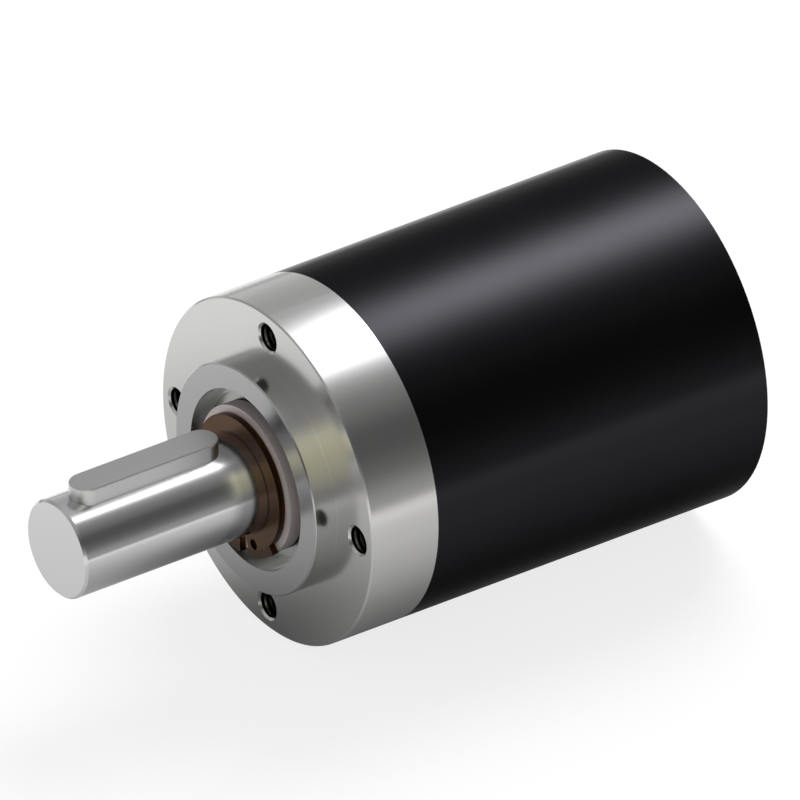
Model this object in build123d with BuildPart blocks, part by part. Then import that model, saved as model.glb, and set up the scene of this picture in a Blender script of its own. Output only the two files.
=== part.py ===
from build123d import *
import os
from math import acos, cos, pi, radians, sin, tan

# Planetary gearbox with two stages, in millimetres.
# The origin is the centre of the flange's front face. +Y runs back to the motor, the output shaft
# points to -Y, and +Z goes up through the key and the top screw hole of the flange.

# Gear teeth, the same in both stages
module = 0.75
pressure_angle = 20.0
planet_count = 3
sun_teeth_per_planet = 5
tooth_addendum = 1.0  # in modules
tooth_dedendum = 1.25  # in modules
ring_tooth_addendum = 0.7  # in modules, shortened so that the planets don't foul it
flank_relief = 0.03  # taken off each flank for backlash
output_planet_width = 12.0
input_planet_width = 8.0

# Housing tube and ring gear
ring_gear_wall = 1.1875
housing_wall = 2.0

# Output flange
flange_length = 9.2
flange_edge_chamfer = 0.2
pilot_height = 3.0
pilot_chamfer = 0.15
boss_wall = 2.0
lip_thickness = 1.8
lip_overlap = 1.0
flange_screw_count = 4
flange_screw_inset = 3.0
flange_screw_core_diameter = 3.3
flange_screw_chamfer = 0.25
flange_screw_depth = 7.5
spigot_end_wall = 1.2

# Output shaft with its carrier, and the key
shaft_diameter = 12.0
shaft_reach = 29.3
shaft_end_chamfer = 0.3
shoulder_step = 1.5
carrier_thickness = 4.0
carrier_tip_gap = 0.45
key_width = 4.0
key_height = 4.0
key_seat_depth = 2.2
key_end_distance = 2.1  # from the shaft's end
key_ring_distance = 3.2  # from the retaining ring
key_edge_chamfer = 0.12

# External retaining ring and support ring on the shaft
shaft_groove_depth = 0.25
shaft_ring_width = 2.45
shaft_ring_thickness = 1.0
shaft_ring_lug_reach = 1.0
shaft_ring_gap_angle = 12.0
shaft_ring_turn = 8.0  # of its gap, from straight down towards +X
shaft_ring_lug_angle = 34.0
shaft_ring_eye_angle = 10.0
shaft_ring_eye_diameter = 1.3
support_ring_width = 3.0
support_ring_thickness = 1.8

# The two output bearings, side by side
bearing_section = 6.0
bearing_width = 6.0
bearing_inner_ring_wall = 1.9
bearing_outer_ring_wall = 1.9
shield_thickness = 0.25
shield_recess = 0.3

# Planets' pins, the plate on the rear ends of the output stage's, and the intermediate carrier
planet_pin_diameter = 4.0
end_plate_thickness = 3.0
intermediate_carrier_thickness = 3.0
plate_lobe_radius = 4.2
sun_passage_gap = 0.6
sun_front_gap = 0.4
sun_stub_inset = 0.3

# Motor side
adapter_thickness = 10.8
motor_pilot_diameter = 22.0
motor_pilot_depth = 3.0
pinion_passage_diameter = 16.0
motor_screw_count = 4
motor_screw_inset = 4.0
motor_screw_hole_diameter = 3.2
motor_screw_head_diameter = 5.6
motor_screw_sink_angle = 90.0
pinion_bore_diameter = 5.0
pinion_length = 11.0

# Clearances
seat_gap = 0.02  # round seats that are pressed or pushed together
running_gap = 0.04  # turning fits, on the radius
shield_gap = 0.1  # shield to the inner ring that turns inside it
planet_side_gap = 0.2
carrier_gap = 0.6  # flange spigot to the output shaft's carrier
stage_gap = 0.4  # end plate to the intermediate carrier
adapter_gap = 0.6  # input planets to the adapter plate

# Gear sizes that follow from the teeth
sun_teeth = planet_count * sun_teeth_per_planet
planet_teeth = sun_teeth
ring_teeth = sun_teeth + 2 * planet_teeth
carrier_radius = module * (sun_teeth + planet_teeth) / 2
wheel_pitch_radius = module * planet_teeth / 2
wheel_tip_radius = wheel_pitch_radius + tooth_addendum * module
wheel_root_radius = wheel_pitch_radius - tooth_dedendum * module
ring_pitch_radius = module * ring_teeth / 2
ring_tip_radius = ring_pitch_radius - ring_tooth_addendum * module
ring_root_radius = ring_pitch_radius + tooth_dedendum * module
top_angle = 90
planet_angles = [top_angle + 360 * i / planet_count for i in range(planet_count)]
# Where a planet turns a tooth to the ring, an odd number of teeth turns a gap to the sun
sun_angle = top_angle if planet_teeth % 2 else top_angle + 180 / sun_teeth

# Radii that follow
shaft_radius = shaft_diameter / 2
shoulder_radius = shaft_radius + shoulder_step
shaft_groove_radius = shaft_radius - shaft_groove_depth
shaft_ring_radius = shaft_groove_radius + shaft_ring_width
support_ring_radius = shaft_radius + support_ring_width
bearing_radius = shaft_radius + bearing_section
inner_ring_radius = shaft_radius + bearing_inner_ring_wall
outer_ring_bore_radius = bearing_radius - bearing_outer_ring_wall
pilot_radius = bearing_radius + boss_wall
lip_radius = bearing_radius - lip_overlap
housing_bore_radius = ring_root_radius + ring_gear_wall
body_radius = housing_bore_radius + housing_wall
pin_radius = planet_pin_diameter / 2
carrier_disc_radius = ring_tip_radius - carrier_tip_gap
sun_passage_radius = wheel_tip_radius + sun_passage_gap
sun_stub_radius = wheel_root_radius - sun_stub_inset
flange_screw_radius = body_radius - flange_screw_inset
motor_screw_radius = housing_bore_radius - motor_screw_inset

# Places along the axis, from the shaft's end back to the motor
shaft_ring_front = -pilot_height + lip_thickness - support_ring_thickness - shaft_ring_thickness
support_ring_front = shaft_ring_front + shaft_ring_thickness
front_bearing_front = support_ring_front + support_ring_thickness
front_bearing_back = front_bearing_front + bearing_width
rear_bearing_back = front_bearing_back + bearing_width
spigot_back = rear_bearing_back + spigot_end_wall
carrier_front = spigot_back + carrier_gap
carrier_back = carrier_front + carrier_thickness
output_planet_front = carrier_back + planet_side_gap
output_planet_back = output_planet_front + output_planet_width
end_plate_front = output_planet_back + planet_side_gap
end_plate_back = end_plate_front + end_plate_thickness
intermediate_front = end_plate_back + stage_gap
intermediate_back = intermediate_front + intermediate_carrier_thickness
input_planet_front = intermediate_back + planet_side_gap
input_planet_back = input_planet_front + input_planet_width
adapter_front = input_planet_back + adapter_gap
body_back = adapter_front + adapter_thickness


def across(y, radius=0, angle=0):
    """The plane square to the axis at y, its origin at a radius and an angle, 90 being up."""
    out = radians(angle)
    return Plane(origin=(-radius * cos(out), y, radius * sin(out)), x_dir=(-1, 0, 0), z_dir=(0, 1, 0))


def polar(radius, angle):
    """The point of a plane at a radius and an angle in radians."""
    return (radius * cos(angle), radius * sin(angle))


def involute(angle):
    """The involute function of an angle in radians."""
    return tan(angle) - angle


def band(front, back, inner, outer, mode=Mode.ADD):
    """A plain ring's section in the plane of the axis: Y across, the radius up."""
    with Locations(((front + back) / 2, (inner + outer) / 2)):
        Rectangle(back - front, outer - inner, mode=mode)


def ring(front, length, outer, inner):
    """A plain ring, its front face at a place along the axis."""
    with BuildSketch(across(front)) as face:
        Circle(outer)
        Circle(inner, mode=Mode.SUBTRACT)
    extrude(face.sketch, amount=length)


def rods(front, length, rod, radius, count, mode=Mode.ADD):
    """A circle of rods, or with another mode of holes, the first at the top."""
    with BuildSketch(across(front)) as face:
        with PolarLocations(radius, count, start_angle=top_angle):
            Circle(rod)
    extrude(face.sketch, amount=length, mode=mode)


def rims(piece, y, radius):
    """The round edges of a piece at one place along the axis and of one radius."""
    rounds = piece.edges().filter_by(GeomType.CIRCLE)
    return rounds.filter_by(lambda e: abs(e.arc_center.Y - y) < 1e-3 and abs(e.radius - radius) < 1e-3)


def tooth_outline(teeth, tip, root, angle, relief):
    """A closed outline of teeth, each flank two lines through three points of its involute."""
    pitch_radius = module * teeth / 2
    pressure = radians(pressure_angle)
    base_radius = pitch_radius * cos(pressure)
    low, high = min(tip, root), max(tip, root)
    flank_radii = [low, (low + high) / 2, high]
    half_at_base = pi / (2 * teeth) + relief / pitch_radius + involute(pressure)
    half_angles = [half_at_base - involute(acos(base_radius / max(r, base_radius))) for r in flank_radii]
    flank = list(zip(flank_radii, half_angles))
    corners = []
    for i in range(teeth):
        middle = radians(angle) + 2 * pi * i / teeth
        corners += [polar(r, middle - half) for r, half in flank]
        corners += [polar(r, middle + half) for r, half in reversed(flank)]
    Polyline(*corners, close=True)


def wheel(plane, angle, length, bore=0):
    """A sun or planet wheel on a plane, with one tooth pointing at the angle."""
    with BuildSketch(plane) as face:
        with BuildLine():
            tooth_outline(planet_teeth, wheel_tip_radius, wheel_root_radius, angle, -flank_relief)
        make_face()
        if bore:
            Circle(bore, mode=Mode.SUBTRACT)
    extrude(face.sketch, amount=length)


def lobed_plate(front, length, bore):
    """A bored plate with a lobe and a hole for each planet's pin."""
    with BuildSketch(across(front)) as face:
        with PolarLocations(carrier_radius, planet_count, start_angle=top_angle):
            Circle(plate_lobe_radius)
        make_hull()
        with PolarLocations(carrier_radius, planet_count, start_angle=top_angle):
            Circle(pin_radius + seat_gap, mode=Mode.SUBTRACT)
        Circle(bore, mode=Mode.SUBTRACT)
    extrude(face.sketch, amount=length)


def sector(radius, middle, half_angle, mode=Mode.ADD):
    """A slice of a disc, as far to either side of its middle as the half angle, in degrees."""
    start, centre, end = (polar(radius, radians(middle + turn)) for turn in (-half_angle, 0, half_angle))
    with BuildLine() as outline:
        Line((0, 0), start)
        ThreePointArc(start, centre, end)
        Line(end, (0, 0))
    make_face(outline.edges(), mode=mode)


os.makedirs("parts", exist_ok=True)

# Output flange: boss, disc and spigot in one, with the bearings' seat bored from behind
with BuildPart() as output_flange:
    with BuildSketch(Plane.YZ):
        band(-pilot_height, 0, lip_radius, pilot_radius)
        band(0, flange_length, lip_radius, body_radius)
        band(flange_length, spigot_back, lip_radius, housing_bore_radius - seat_gap)
        band(front_bearing_front, spigot_back, 0, bearing_radius + seat_gap, mode=Mode.SUBTRACT)
    revolve(axis=Axis.Y)
    screw_core_radius = flange_screw_core_diameter / 2
    rods(0, flange_screw_depth, screw_core_radius, flange_screw_radius, flange_screw_count, Mode.SUBTRACT)
    chamfer(rims(output_flange, 0, screw_core_radius), flange_screw_chamfer)
    chamfer(rims(output_flange, 0, body_radius), flange_edge_chamfer)
    chamfer(rims(output_flange, -pilot_height, pilot_radius), pilot_chamfer)
output_flange.part.label = "output_flange"
export_step(output_flange.part, "parts/output_flange.step")

# Housing tube from the flange back to the motor
with BuildPart() as gear_housing:
    ring(flange_length, body_back - flange_length, body_radius, housing_bore_radius)
gear_housing.part.label = "gear_housing"
export_step(gear_housing.part, "parts/gear_housing.step")

# Ring gear sleeve, held between the flange's spigot and the adapter plate
with BuildPart() as ring_gear:
    with BuildSketch(across(spigot_back)):
        Circle(housing_bore_radius - seat_gap)
        with BuildLine():
            tooth_outline(ring_teeth, ring_tip_radius, ring_root_radius, top_angle, flank_relief)
        make_face(mode=Mode.SUBTRACT)
    extrude(amount=adapter_front - spigot_back)
ring_gear.part.label = "ring_gear"
export_step(ring_gear.part, "parts/ring_gear.step")

# Motor adapter plate, with the motor's pilot bore and screws sunk into its inner face
with BuildPart() as motor_adapter_plate:
    with BuildSketch(Plane.YZ):
        band(adapter_front, body_back, pinion_passage_diameter / 2, housing_bore_radius - seat_gap)
        band(body_back - motor_pilot_depth, body_back, 0, motor_pilot_diameter / 2, mode=Mode.SUBTRACT)
    revolve(axis=Axis.Y)
    with Locations(-across(adapter_front)):
        with PolarLocations(motor_screw_radius, motor_screw_count, start_angle=top_angle / 2):
            CounterSinkHole(motor_screw_hole_diameter / 2, motor_screw_head_diameter / 2, adapter_thickness,
                            motor_screw_sink_angle)
motor_adapter_plate.part.label = "motor_adapter_plate"
export_step(motor_adapter_plate.part, "parts/motor_adapter_plate.step")

# Output shaft and carrier in one: key end, bearing seats, shoulder and the disc with the pins' holes
key_floor = shaft_radius - key_seat_depth
key_front = -shaft_reach + key_end_distance
key_back = shaft_ring_front - key_ring_distance
key_length = key_back - key_front
key_middle = (key_front + key_back) / 2
with BuildPart() as output_shaft:
    with BuildSketch(Plane.YZ):
        band(-shaft_reach, rear_bearing_back, 0, shaft_radius)
        band(rear_bearing_back, carrier_front, 0, shoulder_radius)
        band(carrier_front, carrier_back, 0, carrier_disc_radius)
        groove_front = shaft_ring_front - seat_gap
        band(groove_front, support_ring_front, shaft_groove_radius, shaft_radius, mode=Mode.SUBTRACT)
    revolve(axis=Axis.Y)
    rods(carrier_front, carrier_thickness, pin_radius + seat_gap, carrier_radius, planet_count, Mode.SUBTRACT)
    chamfer(rims(output_shaft, -shaft_reach, shaft_radius), shaft_end_chamfer)
    with BuildSketch(Plane(origin=(0, key_middle, key_floor))):
        SlotOverall(key_length + 2 * seat_gap, key_width + 2 * seat_gap, rotation=90)
    extrude(amount=key_seat_depth, mode=Mode.SUBTRACT)
output_shaft.part.label = "output_shaft"
export_step(output_shaft.part, "parts/output_shaft.step")

# Key with round ends, standing proud of the shaft
with BuildPart() as shaft_key:
    with BuildSketch(Plane(origin=(0, key_middle, key_floor))):
        SlotOverall(key_length, key_width, rotation=90)
    extrude(amount=key_height)
    chamfer(shaft_key.faces().sort_by(Axis.Z)[-1].edges(), key_edge_chamfer)
shaft_key.part.label = "shaft_key"
export_step(shaft_key.part, "parts/shaft_key.step")

# External retaining ring in the shaft's groove, open at the bottom, with an eye in each lug
with BuildPart() as shaft_retaining_ring:
    lug_radius = shaft_ring_radius + shaft_ring_lug_reach
    gap_middle = -top_angle - shaft_ring_turn
    gap_half_angle = shaft_ring_gap_angle / 2
    with BuildSketch(across(shaft_ring_front)):
        Circle(shaft_ring_radius)
        sector(lug_radius, gap_middle, gap_half_angle + shaft_ring_lug_angle)
        Circle(shaft_groove_radius + seat_gap, mode=Mode.SUBTRACT)
        sector(2 * lug_radius, gap_middle, gap_half_angle, mode=Mode.SUBTRACT)
        for side in (-1, 1):
            eye_angle = gap_middle + side * (gap_half_angle + shaft_ring_eye_angle)
            with Locations(polar((shaft_groove_radius + lug_radius) / 2, radians(eye_angle))):
                Circle(shaft_ring_eye_diameter / 2, mode=Mode.SUBTRACT)
    extrude(amount=shaft_ring_thickness)
shaft_retaining_ring.part.label = "shaft_retaining_ring"
export_step(shaft_retaining_ring.part, "parts/shaft_retaining_ring.step")

# Support ring between the retaining ring and the front bearing's inner ring
with BuildPart() as shaft_support_ring:
    ring(support_ring_front, support_ring_thickness, support_ring_radius, shaft_radius + seat_gap)
shaft_support_ring.part.label = "shaft_support_ring"
export_step(shaft_support_ring.part, "parts/shaft_support_ring.step")

# Both output bearings: an inner ring on the shaft and an outer ring in the flange
bearings = {"front_bearing": front_bearing_front, "rear_bearing": front_bearing_back}
for name, front in bearings.items():
    with BuildPart() as inner_ring:
        ring(front, bearing_width, inner_ring_radius, shaft_radius + seat_gap)
    inner_ring.part.label = f"{name}_inner_ring"
    export_step(inner_ring.part, f"parts/{name}_inner_ring.step")

    with BuildPart() as outer_ring:
        ring(front, bearing_width, bearing_radius, outer_ring_bore_radius)
    outer_ring.part.label = f"{name}_outer_ring"
    export_step(outer_ring.part, f"parts/{name}_outer_ring.step")

# Shield in the front of the front bearing, fixed in its outer ring
with BuildPart() as front_bearing_shield:
    shield_front = front_bearing_front + shield_recess
    ring(shield_front, shield_thickness, outer_ring_bore_radius - seat_gap, inner_ring_radius + shield_gap)
front_bearing_shield.part.label = "front_bearing_shield"
export_step(front_bearing_shield.part, "parts/front_bearing_shield.step")

# Plate that ties the rear ends of the output stage's pins together
with BuildPart() as carrier_end_plate:
    lobed_plate(end_plate_front, end_plate_thickness, sun_passage_radius)
carrier_end_plate.part.label = "carrier_end_plate"
export_step(carrier_end_plate.part, "parts/carrier_end_plate.step")

# Intermediate carrier, which carries the input stage's planets and turns the second sun wheel
with BuildPart() as intermediate_carrier:
    lobed_plate(intermediate_front, intermediate_carrier_thickness, sun_stub_radius + seat_gap)
intermediate_carrier.part.label = "intermediate_carrier"
export_step(intermediate_carrier.part, "parts/intermediate_carrier.step")

# Sun wheel of the output stage, whose plain stub is pressed into the intermediate carrier
with BuildPart() as second_stage_sun:
    sun_front = carrier_back + sun_front_gap
    wheel(across(sun_front), sun_angle, intermediate_front - sun_front)
    with BuildSketch(across(intermediate_front)):
        Circle(sun_stub_radius)
    extrude(amount=intermediate_carrier_thickness)
second_stage_sun.part.label = "second_stage_sun"
export_step(second_stage_sun.part, "parts/second_stage_sun.step")

# Sun wheel of the input stage, bored for the motor's shaft
with BuildPart() as motor_pinion:
    pinion_plane = across(intermediate_back + sun_front_gap)
    wheel(pinion_plane, sun_angle, pinion_length, pinion_bore_diameter / 2)
motor_pinion.part.label = "motor_pinion"
export_step(motor_pinion.part, "parts/motor_pinion.step")

# Pins of both stages, pressed into their carriers, and the planet wheels that run on them
stages = {
    "output": (carrier_front, end_plate_back, output_planet_front, output_planet_width),
    "input": (intermediate_front, input_planet_back, input_planet_front, input_planet_width),
}
for stage, (pin_front, pin_back, wheel_front, wheel_width) in stages.items():
    with BuildPart() as planet_pins:
        rods(pin_front, pin_back - pin_front, pin_radius, carrier_radius, planet_count)
    planet_pins.part.label = f"{stage}_planet_pins"
    export_step(planet_pins.part, f"parts/{stage}_planet_pins.step")

    for number, angle in enumerate(planet_angles, start=1):
        with BuildPart() as planet_gear:
            wheel(across(wheel_front, carrier_radius, angle), angle, wheel_width, pin_radius + running_gap)
        planet_gear.part.label = f"{stage}_planet_{number}"
        export_step(planet_gear.part, f"parts/{stage}_planet_{number}.step")
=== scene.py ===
import math

import bpy
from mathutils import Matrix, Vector


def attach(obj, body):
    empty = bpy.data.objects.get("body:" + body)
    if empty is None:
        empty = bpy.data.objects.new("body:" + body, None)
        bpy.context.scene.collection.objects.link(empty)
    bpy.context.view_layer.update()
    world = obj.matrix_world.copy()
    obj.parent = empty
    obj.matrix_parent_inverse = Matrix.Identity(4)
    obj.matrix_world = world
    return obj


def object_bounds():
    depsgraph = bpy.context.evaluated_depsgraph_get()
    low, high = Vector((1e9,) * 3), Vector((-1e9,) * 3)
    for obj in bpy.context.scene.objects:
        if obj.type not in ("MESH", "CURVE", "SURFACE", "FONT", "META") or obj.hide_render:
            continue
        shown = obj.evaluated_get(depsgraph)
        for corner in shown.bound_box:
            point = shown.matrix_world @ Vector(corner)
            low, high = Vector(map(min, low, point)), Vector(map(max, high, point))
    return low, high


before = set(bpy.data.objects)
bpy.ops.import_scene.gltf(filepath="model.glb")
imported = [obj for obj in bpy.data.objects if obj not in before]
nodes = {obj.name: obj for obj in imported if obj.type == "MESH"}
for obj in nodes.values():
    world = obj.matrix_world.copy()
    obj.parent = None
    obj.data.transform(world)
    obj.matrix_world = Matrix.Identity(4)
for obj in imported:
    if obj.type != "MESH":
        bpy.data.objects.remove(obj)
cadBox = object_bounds()
bpy.ops.object.select_all(action="DESELECT")
print("frame loaded:", len(nodes), "nodes")


class Wire:
    # one socket of a material's nodes, with ordinary arithmetic on it
    def __init__(self, tree, socket=None):
        self.tree = tree
        self.socket = socket

    def node(self, kind, settings=None, inputs=None, output=0):
        # any node: its settings first, then the values or links of its sockets
        new = self.tree.nodes.new(kind)
        for name, value in (settings or {}).items():
            if name == "stops":
                ramp = new.color_ramp
                while len(ramp.elements) < len(value):
                    ramp.elements.new(1.0)
                for stop, (place, colour) in zip(ramp.elements, value):
                    stop.position = place
                    stop.color = (*colour, 1.0)
            else:
                setattr(new, name, value)
        for name, value in (inputs or {}).items():
            if isinstance(value, Wire):
                self.tree.links.new(value.socket, new.inputs[name])
            else:
                new.inputs[name].default_value = value
        return Wire(self.tree, new.outputs[output] if new.outputs else None)

    def maths(self, operation, first, second=0.0):
        return self.node("ShaderNodeMath", {"operation": operation}, {0: first, 1: second})

    def __add__(self, other):
        return self.maths("ADD", self, other)

    def __radd__(self, other):
        return self.maths("ADD", other, self)

    def __sub__(self, other):
        return self.maths("SUBTRACT", self, other)

    def __rsub__(self, other):
        return self.maths("SUBTRACT", other, self)

    def __mul__(self, other):
        return self.maths("MULTIPLY", self, other)

    def __rmul__(self, other):
        return self.maths("MULTIPLY", other, self)

    def __truediv__(self, other):
        return self.maths("DIVIDE", self, other)

    def __pow__(self, other):
        return self.maths("POWER", self, other)


def newMaterial(name):
    material = bpy.data.materials.new(name)
    material.use_nodes = True
    material.node_tree.nodes.clear()
    return material, Wire(material.node_tree)


def mixColours(wire, factor, first, second):
    # the node's colour sockets are 6 and 7, and its colour result is 2
    return wire.node("ShaderNodeMix", {"data_type": "RGBA"}, {0: factor, 6: first, 7: second}, 2)


def noise(wire, vector, scale, detail=2.0, roughness=0.5):
    sockets = {"Vector": vector, "Scale": scale, "Detail": detail, "Roughness": roughness}
    return wire.node("ShaderNodeTexNoise", {}, sockets)


def combine(wire, x, y, z):
    return wire.node("ShaderNodeCombineXYZ", {}, {0: x, 1: y, 2: z})


def fadeUp(wire, value, start, end):
    # 0 up to the start, 1 from the end on
    return wire.node("ShaderNodeMapRange", {"interpolation_type": "SMOOTHSTEP"}, {
        "Value": value, "From Min": start, "From Max": end})


def between(wire, value, start, end, blur):
    # 1 where the value lies between start and end, fading over the blur at either end
    rise, fall = (fadeUp(wire, value, edge - blur / 2, edge + blur / 2) for edge in (start, end))
    return rise * (1 - fall)


def greyStops(stops):
    # a ramp's stops, where one number stands for a grey
    return [(place, colour if isinstance(colour, tuple) else (colour,) * 3) for place, colour in stops]


def coordinates(wire):
    # where a point is on the object
    place = wire.node("ShaderNodeTexCoord", output="Object")
    x, y, z = (wire.node("ShaderNodeSeparateXYZ", {}, {"Vector": place}, axis) for axis in "XYZ")
    return place, x, y, z


farOff = 1.0  # metres, past any point of the object
lineDetail, lineRoughness = 3.0, 0.65  # of the noise that draws tool lines and grain


def turnedMetal(name, look):
    # bare metal off a lathe: fine tool lines round the axis, on faces and on sides alike, or an even grain
    material, wire = newMaterial(name)
    place, x, y, z = coordinates(wire)
    radius = (x * x + z * z) ** 0.5
    spread = place if "grained" in look else combine(wire, radius, y, 0.0)
    lines = noise(wire, spread, look["lineScale"], lineDetail, lineRoughness)
    cloud = noise(wire, place, look["cloudScale"])
    shade = mixColours(wire, cloud, (*look["darkColour"], 1.0), (*look["lightColour"], 1.0))
    roughness = look["roughness"] + (lines - 0.5) * look["roughnessSpread"]
    for patch in look.get("patches", []):
        # a band of another colour, by its place along the axis, its radius or its height
        along = {"axis": y, "radius": radius, "height": z}[patch["along"]]
        mask = between(wire, along, patch["start"], patch["end"], patch["blur"]) * patch["amount"]
        shade = mixColours(wire, mask, shade, (*patch["colour"], 1.0))
        roughness = roughness + mask * patch["rougher"]
    if "holes" in look:
        # painted shade inside the screw holes, which stand on the four axes: their walls are darkened as a
        # recess in shade
        holes = look["holes"]
        far, near = (wire.maths(pick, wire.maths("ABSOLUTE", x), wire.maths("ABSOLUTE", z))
                     for pick in ("MAXIMUM", "MINIMUM"))
        outward = far - holes["circleRadius"]
        fromCentre = (outward * outward + near * near) ** 0.5
        holeShade = (between(wire, fromCentre, -farOff, holes["reach"], holes["blur"])
                  * between(wire, y, holes["start"], farOff, holes["blur"]))
        shade = mixColours(wire, holeShade, shade, (*holes["colour"], 1.0))
    bump = wire.node("ShaderNodeBump", {}, {
        "Strength": 1.0, "Distance": 1.0, "Height": lines * look["lineDepth"]})
    shader = wire.node("ShaderNodeBsdfPrincipled", {}, {
        "Base Color": shade, "Metallic": look.get("metallic", 1.0), "Roughness": roughness,
        "Normal": bump})
    wire.node("ShaderNodeOutputMaterial", {}, {"Surface": shader})
    return material


def blackCoating(name, look):
    # thin black coat on steel, with a faint grain, that stays dark when seen edge-on
    material, wire = newMaterial(name)
    place = coordinates(wire)[0]
    grain = noise(wire, place, look["grainScale"])
    cloud = noise(wire, place, look["cloudScale"])
    shade = mixColours(wire, cloud, (*look["darkColour"], 1.0), (*look["lightColour"], 1.0))
    roughness = look["roughness"] + (cloud - 0.5) * look["roughnessSpread"]
    bump = wire.node("ShaderNodeBump", {}, {
        "Strength": 1.0, "Distance": look["grainDepth"], "Height": grain})
    shader = wire.node("ShaderNodeBsdfPrincipled", {}, {
        "Base Color": shade, "Metallic": 1.0, "Roughness": roughness, "Normal": bump,
        "Specular Tint": (*look["edgeTint"], 1.0)})
    wire.node("ShaderNodeOutputMaterial", {}, {"Surface": shader})
    return material


flangeLook = {
    "lightColour": (0.60, 0.595, 0.585), "darkColour": (0.56, 0.555, 0.55), "roughness": 0.19,
    "roughnessSpread": 0.06, "lineScale": 4000.0, "lineDepth": 0.0000012, "cloudScale": 60.0,
    "patches": [
        # boss, then its end face
        {"along": "axis", "start": -farOff, "end": -0.00004, "blur": 0.00004, "amount": 1.0,
         "colour": (0.50, 0.50, 0.49), "rougher": 0.0},
        {"along": "axis", "start": -farOff, "end": -0.00292, "blur": 0.00004, "amount": 1.0,
         "colour": (0.40, 0.40, 0.40), "rougher": 0.03}],
    # painted shade inside the screw holes
    "holes": {"circleRadius": 0.018, "reach": 0.0017, "start": 0.0004, "blur": 0.0001,
              "colour": (0.12, 0.12, 0.12)}}
shaftLook = {
    "lightColour": (0.62, 0.62, 0.62), "darkColour": (0.57, 0.57, 0.575), "roughness": 0.14,
    "roughnessSpread": 0.05, "lineScale": 6000.0, "lineDepth": 0.000001, "cloudScale": 80.0,
    "patches": [
        # faced end
        {"along": "axis", "start": -farOff, "end": -0.02926, "blur": 0.00004, "amount": 1.0,
         "colour": (0.69, 0.69, 0.69), "rougher": 0.0}]}
keyLook = {
    "lightColour": (0.70, 0.70, 0.70), "darkColour": (0.64, 0.64, 0.64), "roughness": 0.34,
    "roughnessSpread": 0.08, "lineScale": 2500.0, "lineDepth": 0.000002, "cloudScale": 150.0,
    "patches": [
        # top face, painted darker than the sides: painted shade
        {"along": "height", "start": 0.00775, "end": farOff, "blur": 0.00004, "amount": 1.0,
         "colour": (0.47, 0.47, 0.47), "rougher": 0.02}]}
springLook = {
    "lightColour": (0.105, 0.050, 0.021), "darkColour": (0.058, 0.028, 0.012), "roughness": 0.32,
    "roughnessSpread": 0.1, "lineScale": 3000.0, "lineDepth": 0.000001, "cloudScale": 260.0,
    "patches": [
        # painted shade along the inner edge of the face, where it meets the shaft, and along its outer
        # edge, then a lighter pinkish band at the back of the rim
        {"along": "radius", "start": 0.0, "end": 0.0062, "blur": 0.0002, "amount": 0.8,
         "colour": (0.03, 0.016, 0.008), "rougher": 0.1},
        {"along": "radius", "start": 0.0081, "end": farOff, "blur": 0.0002, "amount": 0.6,
         "colour": (0.03, 0.016, 0.008), "rougher": 0.1},
        {"along": "axis", "start": -0.0032, "end": farOff, "blur": 0.0001, "amount": 0.8,
         "colour": (0.62, 0.57, 0.53), "rougher": 0.1}]}
washerLook = {
    "lightColour": (0.62, 0.56, 0.55), "darkColour": (0.56, 0.50, 0.49), "roughness": 0.5, "metallic": 0.4,
    "roughnessSpread": 0.08, "lineScale": 3000.0, "lineDepth": 0.000002, "cloudScale": 120.0}
bearingLook = {
    "lightColour": (0.39, 0.39, 0.385), "darkColour": (0.35, 0.35, 0.345), "roughness": 0.2,
    "roughnessSpread": 0.05, "lineScale": 5000.0, "lineDepth": 0.000001, "cloudScale": 120.0}
gearLook = {
    "lightColour": (0.42, 0.42, 0.43), "darkColour": (0.36, 0.36, 0.37), "roughness": 0.3,
    "roughnessSpread": 0.1, "lineScale": 3500.0, "lineDepth": 0.000002, "cloudScale": 150.0,
    "grained": True}
adapterLook = {
    "lightColour": (0.66, 0.66, 0.67), "darkColour": (0.60, 0.60, 0.61), "roughness": 0.3,
    "roughnessSpread": 0.06, "lineScale": 3000.0, "lineDepth": 0.000002, "cloudScale": 90.0}
housingLook = {
    "lightColour": (0.0245, 0.0245, 0.027), "darkColour": (0.0205, 0.0205, 0.0225), "roughness": 0.22,
    "roughnessSpread": 0.05, "grainScale": 3000.0, "grainDepth": 0.0000015, "cloudScale": 90.0,
    "edgeTint": (0.5, 0.5, 0.5)}

turnedSteel = turnedMetal("turnedSteel", flangeLook)
groundSteel = turnedMetal("groundSteel", shaftLook)
keySteel = turnedMetal("keySteel", keyLook)
springSteel = turnedMetal("springSteel", springLook)
washerSteel = turnedMetal("washerSteel", washerLook)
bearingSteel = turnedMetal("bearingSteel", bearingLook)
gearSteel = turnedMetal("gearSteel", gearLook)
adapterMetal = turnedMetal("adapterMetal", adapterLook)
blackCoat = blackCoating("blackCoat", housingLook)

finishes = {
    "output_flange": turnedSteel, "gear_housing": blackCoat, "ring_gear": gearSteel,
    "motor_adapter_plate": adapterMetal, "output_shaft": groundSteel, "shaft_key": keySteel,
    "shaft_retaining_ring": springSteel, "shaft_support_ring": washerSteel,
    "carrier_end_plate": groundSteel, "intermediate_carrier": groundSteel}
for name, node in nodes.items():
    if name in finishes:
        finish = finishes[name]
    elif "bearing" in name or "pins" in name:
        finish = bearingSteel
    else:
        finish = gearSteel
    node.data.materials.clear()
    node.data.materials.append(finish)
print("finishes set")

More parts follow.
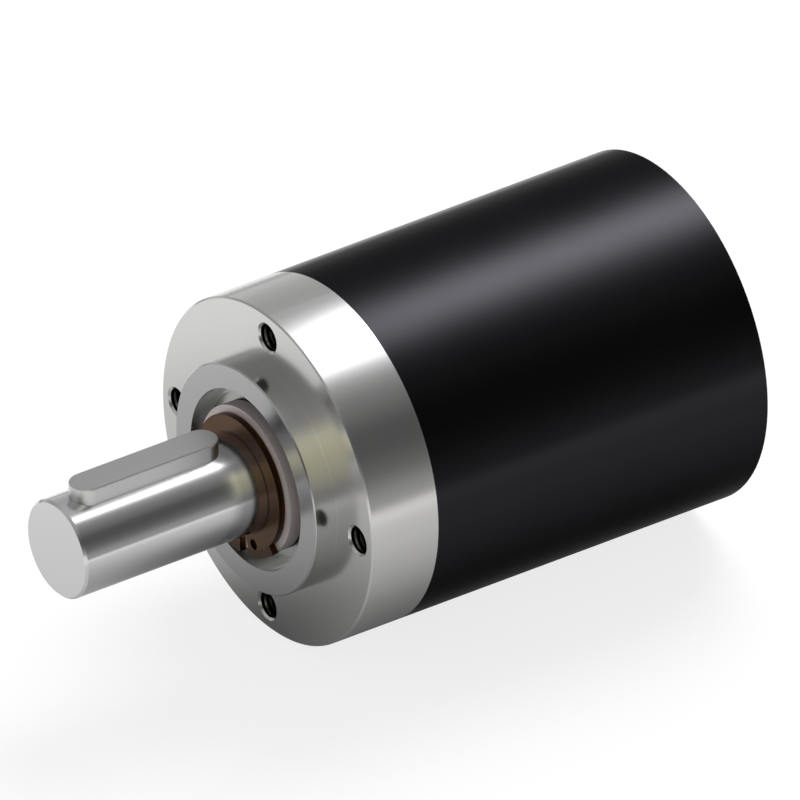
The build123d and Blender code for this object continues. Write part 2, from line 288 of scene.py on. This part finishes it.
# turns of thread in the flange's screw holes, a ridge on the wall, modelled once and copied
threadShape = {
    "holeCount": 4, "circleRadius": 0.018, "rootRadius": 0.00167, "crestRadius": 0.00157,
    "ridgeWidth": 0.0005, "pitch": 0.0007, "turns": 9, "stepsPerTurn": 28, "firstTurn": 0.0006,
    "sharpAngle": 40.0}
cornerHeight, cornerWidth = 1.5, math.sqrt(3.0)  # of a triangle with its corners on a circle of radius 1
ridgeScale = (threadShape["rootRadius"] - threadShape["crestRadius"]) / cornerHeight
bpy.ops.mesh.primitive_circle_add(
    vertices=3, radius=1.0, location=(threadShape["crestRadius"] + ridgeScale, 0.0, 0.0),
    rotation=(math.pi / 2, -math.pi / 2, 0.0))
ridge = bpy.context.object
ridge.scale = (threadShape["ridgeWidth"] / cornerWidth, ridgeScale, 1.0)
bpy.ops.object.transform_apply(location=True, rotation=True, scale=True)
turns = ridge.modifiers.new("turns", "SCREW")
turns.screw_offset = threadShape["pitch"]
turns.iterations = threadShape["turns"]
turns.steps = turns.render_steps = threadShape["stepsPerTurn"]
bpy.ops.object.modifier_apply(modifier="turns")
bpy.ops.object.mode_set(mode="EDIT")
bpy.ops.mesh.select_all(action="SELECT")
bpy.ops.mesh.fill_holes(sides=3)
bpy.ops.mesh.normals_make_consistent(inside=False)
bpy.ops.object.mode_set(mode="OBJECT")
bpy.ops.object.shade_smooth_by_angle(angle=math.radians(threadShape["sharpAngle"]))
ridge.rotation_euler = (-math.pi / 2, 0.0, 0.0)
ridge.data.materials.append(turnedSteel)
for hole in range(threadShape["holeCount"]):
    bpy.ops.object.select_all(action="DESELECT")
    ridge.select_set(True)
    bpy.context.view_layer.objects.active = ridge
    bpy.ops.object.duplicate()
    thread = bpy.context.object
    thread.name = f"flange_thread_{hole + 1}"
    holeAngle = 2 * math.pi * hole / threadShape["holeCount"]
    thread.location = (threadShape["circleRadius"] * math.cos(holeAngle), threadShape["firstTurn"],
                       threadShape["circleRadius"] * math.sin(holeAngle))
    bpy.ops.object.transform_apply(location=True, rotation=True, scale=True)
    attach(thread, "housing")
bpy.data.objects.remove(ridge)
print("threads cut")

# floor, lamp and what the metal reflects
studio = {
    "floorSize": 6.0, "floorDrop": 0.0002, "floorColour": (0.95, 0.95, 0.95), "whiteShare": 0.8,
    "skyStrength": 0.45, "lampStrength": 11.0, "lampPlace": (-0.35, 0.55, 0.75), "lampSize": 0.6,
    # as the metal sees the floor, it is shaded round the object: grey by distance from a strip under it
    "stripStart": 0.010, "stripEnd": 0.045, "alongScale": 0.9, "leftScale": 1.6, "shadeReach": 0.12,
    "shadeGreys": [(0.08, 0.12), (0.125, 0.19), (0.167, 0.28), (0.2, 0.38), (0.267, 0.53),
                   (0.383, 0.67), (0.683, 0.78), (0.82, 1.0)], "farGlow": 1.1}


def rayKinds(wire):
    # 1 for the rays that the camera, metal or glass sees by
    return (wire.node("ShaderNodeLightPath", {}, {}, name) for name in
            ("Is Camera Ray", "Is Glossy Ray", "Is Transmission Ray"))


floorTop = cadBox[0].z - studio["floorDrop"]
bpy.ops.mesh.primitive_plane_add(size=studio["floorSize"], location=(0.0, 0.0, floorTop))
floor = bpy.context.object
floor.name = "floor"
floorMaterial, wire = newMaterial("floorWhite")
camera, glossy, through = rayKinds(wire)
x, y = coordinates(wire)[1:3]
beyond = (wire.maths("MAXIMUM", studio["stripStart"] - y, 0.0)
          + wire.maths("MAXIMUM", y - studio["stripEnd"], 0.0)) * studio["alongScale"]
sideways = wire.maths("MAXIMUM", x, x * -studio["leftScale"])
fromStrip = (sideways * sideways + beyond * beyond) ** 0.5 / studio["shadeReach"]
shade = wire.node("ShaderNodeValToRGB", {"stops": greyStops(studio["shadeGreys"])}, {"Fac": fromStrip})
paper = wire.node("ShaderNodeBsdfDiffuse", {}, {"Color": (*studio["floorColour"], 1.0)})
glow = mixColours(wire, glossy, (1.0, 1.0, 1.0, 1.0), shade)
glowStrength = glossy * (studio["farGlow"] - 1) + 1
white = wire.node("ShaderNodeEmission", {}, {"Color": glow, "Strength": glowStrength})
share = wire.maths("MAXIMUM", glossy, wire.maths("MAXIMUM", camera, through) * studio["whiteShare"])
surface = wire.node("ShaderNodeMixShader", {}, {0: share, 1: paper, 2: white})
wire.node("ShaderNodeOutputMaterial", {}, {"Surface": surface})
floor.data.materials.append(floorMaterial)

world = bpy.data.worlds.new("studioWorld")
bpy.context.scene.world = world
world.use_nodes = True
world.node_tree.nodes.clear()
wire = Wire(world.node_tree)
camera, glossy, through = rayKinds(wire)
seen = wire.maths("MAXIMUM", wire.maths("MAXIMUM", camera, glossy), through)
strength = seen + (1 - seen) * studio["skyStrength"]
sky = wire.node("ShaderNodeBackground", {}, {"Color": (1.0, 1.0, 1.0, 1.0), "Strength": strength})
wire.node("ShaderNodeOutputWorld", {}, {"Surface": sky})

# tunnel of grey screens along the axis, seen only in the metal: the angle round it is 0 at +X, 90 on top
tunnelLook = {
    "radius": 0.15, "length": 1.6, "sides": 96, "glowTint": (0.975, 0.965, 1.0),
    "greys": [(0.0, 0.42), (0.07, 0.20), (0.15, 0.12), (0.22, 0.12), (0.33, 0.28), (0.42, 0.45),
              (0.68, 0.60), (0.80, 0.50), (0.90, 0.60), (1.0, 0.80)],
    # a stretch in front of the object is warm on its right side
    "warmGreys": [(0.0, 0.50), (0.08, (0.90, 0.88, 0.72)), (0.18, (1.2, 1.17, 0.84)),
                  (0.28, (1.5, 1.46, 1.12)), (0.37, 0.65), (0.48, 0.48), (0.7, 0.42), (0.9, 0.45),
                  (1.0, 0.80)],
    "warmStart": -0.11, "warmEnd": -0.0375, "warmBlur": 0.025,
    # a bright stripe runs overhead behind that, and widens where the housing begins
    "stripeStart": 0.068, "stripeEnd": 0.078, "stripeCentres": (85.0, 100.0),
    "stripeSpreads": (4.5, 11.0), "stripeStrengths": (3.0, 6.8)}
bpy.ops.mesh.primitive_cylinder_add(
    vertices=tunnelLook["sides"], radius=tunnelLook["radius"], depth=tunnelLook["length"],
    end_fill_type="NOTHING", rotation=(math.pi / 2, 0.0, 0.0))
tunnel = bpy.context.object
tunnel.name = "reflectionTunnel"
bpy.ops.object.transform_apply(location=True, rotation=True, scale=True)
tunnel.visible_camera = False
tunnel.visible_diffuse = False
tunnel.visible_shadow = False
tunnel.visible_transmission = False
tunnelMaterial, wire = newMaterial("tunnelGreys")
x, y, z = coordinates(wire)[1:]
angle = wire.maths("ARCTAN2", z, x) * (180 / math.pi)
warm = between(wire, y, tunnelLook["warmStart"], tunnelLook["warmEnd"], tunnelLook["warmBlur"])
behindWarm = between(wire, y, tunnelLook["warmEnd"], tunnelLook["length"], tunnelLook["warmBlur"])
widening = fadeUp(wire, y, tunnelLook["stripeStart"], tunnelLook["stripeEnd"])


def along(ends):
    # a value that goes from its front amount to its back amount as the stripe widens
    return widening * (ends[1] - ends[0]) + ends[0]


plain, warmed = (wire.node("ShaderNodeValToRGB", {"stops": greyStops(tunnelLook[side])}, {
    "Fac": angle / 180.0}) for side in ("greys", "warmGreys"))
screens = mixColours(wire, warm, plain, warmed)
offset = (angle - along(tunnelLook["stripeCentres"])) / along(tunnelLook["stripeSpreads"])
stripe = wire.maths("EXPONENT", offset * offset * -0.5) * along(tunnelLook["stripeStrengths"]) * behindWarm
dim = wire.node("ShaderNodeEmission", {}, {"Color": screens, "Strength": 1.0})
bright = wire.node("ShaderNodeEmission", {}, {
    "Color": (*tunnelLook["glowTint"], 1.0), "Strength": stripe})
both = wire.node("ShaderNodeAddShader", {}, {0: dim, 1: bright})
wire.node("ShaderNodeOutputMaterial", {}, {"Surface": both})
tunnel.data.materials.append(tunnelMaterial)

lampData = bpy.data.lights.new("topLamp", "AREA")
lampData.size = studio["lampSize"]
lampData.energy = studio["lampStrength"]
lamp = bpy.data.objects.new("topLamp", lampData)
bpy.context.scene.collection.objects.link(lamp)
lamp.location = studio["lampPlace"]
lamp.rotation_euler = Vector(studio["lampPlace"]).to_track_quat("Z", "Y").to_euler()
lamp.visible_glossy = False
print("studio set")

# camera: square to no side, far off, without perspective
cameraSetup = {
    "azimuth": 55.16, "elevation": 32.29, "distance": 1.0, "frameWidth": 0.09131,
    "shiftRight": 0.015157, "shiftUp": 0.008175, "farthestSeen": 10.0}
azimuth, elevation = math.radians(cameraSetup["azimuth"]), math.radians(cameraSetup["elevation"])
back = Vector((math.sin(azimuth) * math.cos(elevation), -math.cos(azimuth) * math.cos(elevation),
               math.sin(elevation)))
turn = back.to_track_quat("Z", "Y")
right, up = turn @ Vector((1.0, 0.0, 0.0)), turn @ Vector((0.0, 1.0, 0.0))
aim = right * cameraSetup["shiftRight"] + up * cameraSetup["shiftUp"]
cameraData = bpy.data.cameras.new("photoCamera")
cameraData.type = "ORTHO"
cameraData.ortho_scale = cameraSetup["frameWidth"]
cameraData.clip_end = cameraSetup["farthestSeen"]
photoCamera = bpy.data.objects.new("photoCamera", cameraData)
bpy.context.scene.collection.objects.link(photoCamera)
photoCamera.location = aim + back * cameraSetup["distance"]
photoCamera.rotation_euler = turn.to_euler()
bpy.context.scene.camera = photoCamera
bpy.context.scene.view_settings.view_transform = "Standard"
print("camera set")
